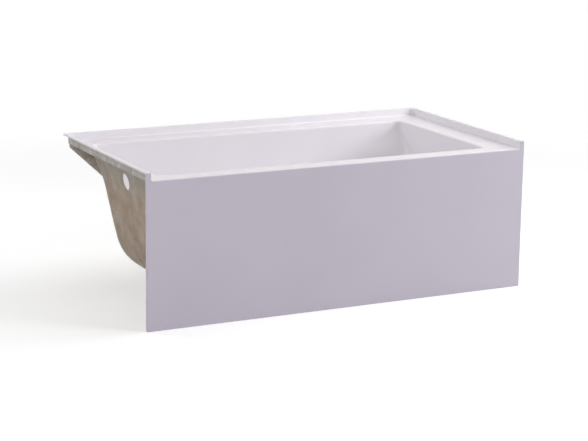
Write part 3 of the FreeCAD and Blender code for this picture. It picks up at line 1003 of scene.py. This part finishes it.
def timber(name, axis):
    """Sawn softwood with its grain along an axis."""
    surface = Surface(name, 0.65)
    stretch = (0.06, 1, 1) if axis == "X" else (1, 0.06, 1)
    where = surface.stretched(stretch, shift=(0.03, 0.05, 0.04))
    rings = surface.rings(axis, 62.0, 1.6, where)
    fine = (3.0, 420.0, 420.0) if axis == "X" else (420.0, 3.0, 420.0)
    pores = surface.noise(1.0, 4.0, 0.6, 0.3, surface.stretched(fine))
    wood = surface.ramp(rings, [(0.2, (204, 168, 120)), (0.75, (186, 144, 94)),
                                (0.95, (158, 112, 66))])
    grain = surface.ramp(pores, [(0.35, (205, 190, 170)), (0.65, (255, 255, 255))])
    surface.colour(surface.mix(0.55, wood, grain, "MULTIPLY"))
    saw = surface.bump(pores, 0.35, 0.0012)
    surface.bump(rings, 0.15, 0.0008, saw)
    return surface.material


def chipboard():
    """Pressed wood flakes."""
    surface = Surface("chipboard", 0.8)
    flakes = surface.cells(1.0, surface.stretched((210.0, 330.0, 420.0), (0, 0, 30)))
    chips = surface.cells(1.0, surface.stretched((640.0, 480.0, 700.0), (0, 0, 60)))
    broad = surface.ramp(flakes, [(0.1, (146, 108, 68)), (0.5, (188, 152, 106)),
                                  (0.9, (218, 190, 146))])
    small = surface.ramp(chips, [(0.2, (160, 124, 82)), (0.8, (206, 176, 132))])
    surface.colour(surface.mix(surface.between(surface.noise(120.0), 0.4, 0.6), broad, small))
    surface.bump(flakes, 0.4, 0.0008)
    return surface.material


def galvanised_steel():
    """Hot-dipped zinc with its spangle."""
    surface = Surface("galvanised_steel", 0.4, metallic=1.0)
    spangle = surface.cells(1.0, surface.stretched((95.0, 60.0, 95.0)))
    grey = surface.ramp(spangle, [(0.1, (146, 150, 154)), (0.5, (172, 175, 178)),
                                  (0.9, (198, 200, 201))])
    dust = surface.ramp(surface.noise(14.0, 4.0), [(0.4, (214, 212, 208)), (0.7, 1.0)])
    surface.colour(surface.mix(0.7, grey, dust, "MULTIPLY"))
    surface.roughness(surface.ramp(spangle, [(0.0, 0.3), (1.0, 0.5)]))
    surface.bump(surface.noise(420.0, 2.0), 0.1, 0.0004)
    return surface.material


def zinc_steel():
    """Bright zinc plate, a little dulled in patches."""
    surface = Surface("zinc_steel", 0.3, metallic=1.0)
    patches = surface.noise(60.0, 4.0, 0.6)
    surface.colour(surface.ramp(patches, [(0.35, (176, 176, 170)), (0.65, (208, 209, 210))]))
    surface.roughness(surface.ramp(surface.noise(150.0, 3.0), [(0.3, 0.22), (0.7, 0.4)]))
    surface.bump(surface.noise(520.0, 2.0), 0.1, 0.0003)
    return surface.material


def black_plastic():
    """Moulded plastic with a fine grain and a few scuffs."""
    surface = Surface("black_plastic", 0.45)
    mottle = surface.noise(120.0, 3.0)
    black = surface.ramp(mottle, [(0.3, (26, 26, 27)), (0.7, (38, 38, 40))])
    scuffs = surface.noise(1.0, 3.0, 0.6, 0.0, surface.stretched((90.0, 700.0, 300.0), (0, 0, 35)))
    surface.colour(surface.mix(surface.between(scuffs, 0.62, 0.75), black, srgb(66, 66, 67)))
    surface.roughness(surface.ramp(mottle, [(0.3, 0.38), (0.7, 0.55)]))
    surface.bump(surface.noise(900.0, 2.0), 0.15, 0.0003)
    return surface.material


materials = {
    "acrylic": acrylic("white_acrylic", (241, 237, 242), (245, 241, 246)),
    # Painted shade: the apron's copy of the white acrylic is darker and more lilac, a shaded copy of
    # the same sheet
    "shaded_apron_acrylic": acrylic("shaded_apron_acrylic", (223, 215, 230), (227, 220, 234)),
    "fibreglass": fibreglass("fibreglass"),
    "lit_web_fibreglass": fibreglass("lit_web_fibreglass", painted_lit_web=True),
    "timber_along": timber("timber_along", "X"),
    "timber_across": timber("timber_across", "Y"),
    "chipboard": chipboard(),
    "galvanised_steel": galvanised_steel(),
    "zinc_steel": zinc_steel(),
    "black_plastic": black_plastic(),
}
carried_over = {
    "apron_panel": "shaded_apron_acrylic", "apron_laminate": "fibreglass", "apron_top_batten": "timber_along",
    "apron_bottom_batten": "timber_along", "rim_batten_back": "timber_along",
    "rim_batten_right": "timber_across", "floor_board": "chipboard",
}


def paint(thing, material):
    """Give a thing one of the materials in place of its own."""
    thing.data.materials.clear()
    thing.data.materials.append(materials[material])


def stand_for(piece, node, material, body="tub"):
    """A made piece that rides on a body and stands for a CAD node."""
    paint(piece, material)
    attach(piece, body)
    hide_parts(node)


def group(name, shape, node):
    """One piece out of a shape made for each solid of a node."""
    return joined(name, [shape(low, high) for low, high in solids(node)])


for node, material in carried_over.items():
    paint(frame["nodes"][node], material)

stand_for(acrylic_shell(), "tub_shell", "acrylic")
stand_for(fibreglass_skin(), "shell_laminate", "fibreglass")
for node in gusset_sizes:
    stand_for(gusset(node), node, "lit_web_fibreglass")
for side in ("left", "right"):
    node = "cradle_rail_" + side
    stand_for(rail("rail_tube_" + side, node), node, "galvanised_steel")
for name, shape, node, material in (("tube_caps", end_cap, "rail_end_caps", "black_plastic"),
                                    ("angle_brackets", bracket, "rail_brackets", "zinc_steel"),
                                    ("welded_nuts", nut, "weld_nuts", "zinc_steel"),
                                    ("jam_nuts", nut, "lock_nuts", "zinc_steel")):
    stand_for(group(name, shape, node), node, material)
stand_for(screws("pan_head_screws", "board_screws", True), "board_screws", "zinc_steel")
stand_for(screws("angle_screws", "bracket_screws", False), "bracket_screws", "zinc_steel")
for foot in feet:
    node = "foot_stem_" + foot
    stand_for(stem("threaded_stem_" + foot, node), node, "zinc_steel", "stem_" + foot)
    node = "foot_pad_" + foot
    stand_for(pad("ribbed_pad_" + foot, node), node, "black_plastic", "pad_" + foot)


# ---------------------------------------------------------------- stage, lights and camera

def seen_directly(tree):
    """1 for what the camera sees, also in glossy surfaces and through clear ones."""
    path = new_node(tree, "LightPath", {})
    seen = path.outputs["Is Camera Ray"]
    for other in ("Is Glossy Ray", "Is Transmission Ray"):
        either = new_node(tree, "Math", {0: seen, 1: path.outputs[other]}, operation="MAXIMUM")
        seen = either.outputs[0]
    return seen


def floor():
    """A wide pale floor. It turns plain white away from the object, to the camera and to gloss,
    and throws back duller light. Seen from below it is clear, to show the underside."""
    made = bmesh.new()
    bmesh.ops.create_grid(made, x_segments=1, y_segments=1, size=floor_reach)
    plane = from_bmesh("floor", made)
    surface = Surface("pale_floor", 0.9, specular=0.0)
    tree = surface.tree
    cloud = surface.noise(0.6, 2.0)
    pale = surface.ramp(cloud, [(0.3, 0.80), (0.7, 0.82)])
    dull = surface.ramp(cloud, [(0.3, floor_dull), (0.7, floor_dull * 1.05)])
    seen = seen_directly(tree)
    surface.colour(surface.mix(seen, dull, pale))
    lift = surface.node("Emission", {"Strength": floor_lift})
    near = surface.node("AddShader", {0: surface.shader.outputs[0], 1: lift.outputs[0]})
    away = surface.node("VectorMath", {0: surface.coordinates}, operation="LENGTH").outputs["Value"]
    white = surface.node("Emission", {})
    shown = mixed(tree, surface.between(away, *floor_fade), near, white)
    lit = mixed(tree, seen, surface.shader, shown)
    from_below = surface.node("NewGeometry", {}).outputs["Backfacing"]
    sided = mixed(tree, from_below, lit, surface.node("BsdfTransparent", {}))
    surface.link(sided.outputs[0], tree.nodes["Material Output"].inputs["Surface"])
    plane.data.materials.append(surface.material)


def sky():
    """Soft light all round, and plain white where the camera or gloss sees past the floor."""
    world = bpy.data.worlds.new("studio")
    bpy.context.scene.world = world
    world.use_nodes = True
    tree = world.node_tree
    light = tree.nodes["Background"]
    light.inputs["Color"].default_value = (0.96, 0.97, 1.0, 1.0)
    light.inputs["Strength"].default_value = sky_strength
    white = new_node(tree, "Background", {"Color": (1, 1, 1), "Strength": 1.0})
    both = mixed(tree, seen_directly(tree), light, white)
    tree.links.new(both.outputs[0], tree.nodes["World Output"].inputs["Surface"])


def soft_box(name, place, target, size, power):
    """A square area lamp that points at a target."""
    data = bpy.data.lights.new(name, "AREA")
    data.size = size
    data.energy = power
    lamp = bpy.data.objects.new(name, data)
    lamp.location = place
    aim = Vector(target) - Vector(place)
    lamp.rotation_euler = aim.to_track_quat("-Z", "Y").to_euler()
    bpy.context.scene.collection.objects.link(lamp)


def camera():
    """The photograph's camera, with the principal point where the photograph has it."""
    data = bpy.data.cameras.new("camera")
    data.sensor_width = sensor_width
    data.lens = focal_pixels / photo_width * sensor_width
    data.shift_x = (photo_width / 2 - centre_pixel[0]) / photo_width
    data.shift_y = (centre_pixel[1] - photo_height / 2) / photo_width
    data.clip_end = camera_reach
    ahead = Vector((math.sin(camera_azimuth) * math.cos(camera_dip),
                    math.cos(camera_azimuth) * math.cos(camera_dip), -math.sin(camera_dip)))
    level = Vector((math.cos(camera_azimuth), -math.sin(camera_azimuth), 0))
    upright = level.cross(ahead)
    right = math.cos(camera_roll) * level + math.sin(camera_roll) * upright
    up = right.cross(ahead)
    turn = Matrix((right, up, -ahead)).transposed()
    seen_from = bpy.data.objects.new("camera", data)
    seen_from.matrix_world = Matrix.Translation(camera_place) @ turn.to_4x4()
    bpy.context.scene.collection.objects.link(seen_from)
    bpy.context.scene.camera = seen_from


floor()
sky()
for name, (place, target, size, power) in lamps.items():
    soft_box(name, place, target, size, power)
camera()
bpy.context.scene.view_settings.view_transform = "Standard"
